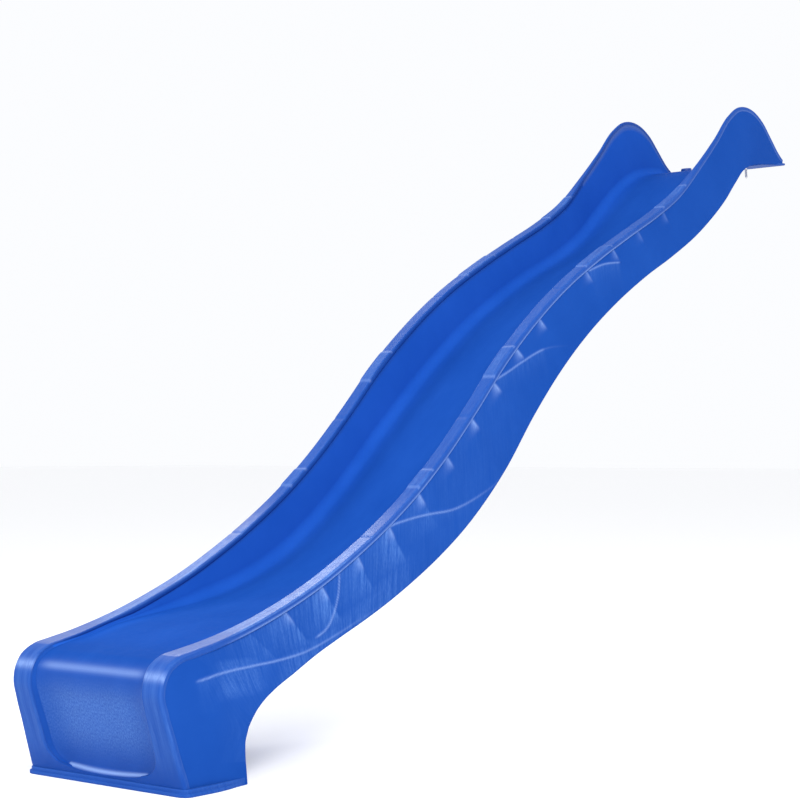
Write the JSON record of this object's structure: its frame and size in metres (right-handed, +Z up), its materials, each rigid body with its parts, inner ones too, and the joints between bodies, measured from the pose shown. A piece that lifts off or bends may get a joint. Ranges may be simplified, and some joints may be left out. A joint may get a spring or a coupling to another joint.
{
  "type": "playground slide",
  "caption": "Wavy moulded plastic chute with rounded side ears, a box foot and a top lip, screwed to a raised play platform.",
  "frame": {"origin": "middle of the fixing holes on the underside of the top lip, where it rests on the platform", "axes": "+X down the slide towards the exit, +Y across the slide, +Z up"},
  "size_m": [2.6694, 0.442, 1.634],
  "materials": {
    "blue_plastic": "satin moulded polyethylene",
    "zinc_steel": "zinc plated",
    "blue_cap": "satin moulded polyethylene"
  },
  "bodies": {
    "root": {"chute": "blue_plastic", "platform_screws": "zinc_steel", "screw_washers": "zinc_steel", "screw_caps": "blue_cap"}
  },
  "joints": []
}
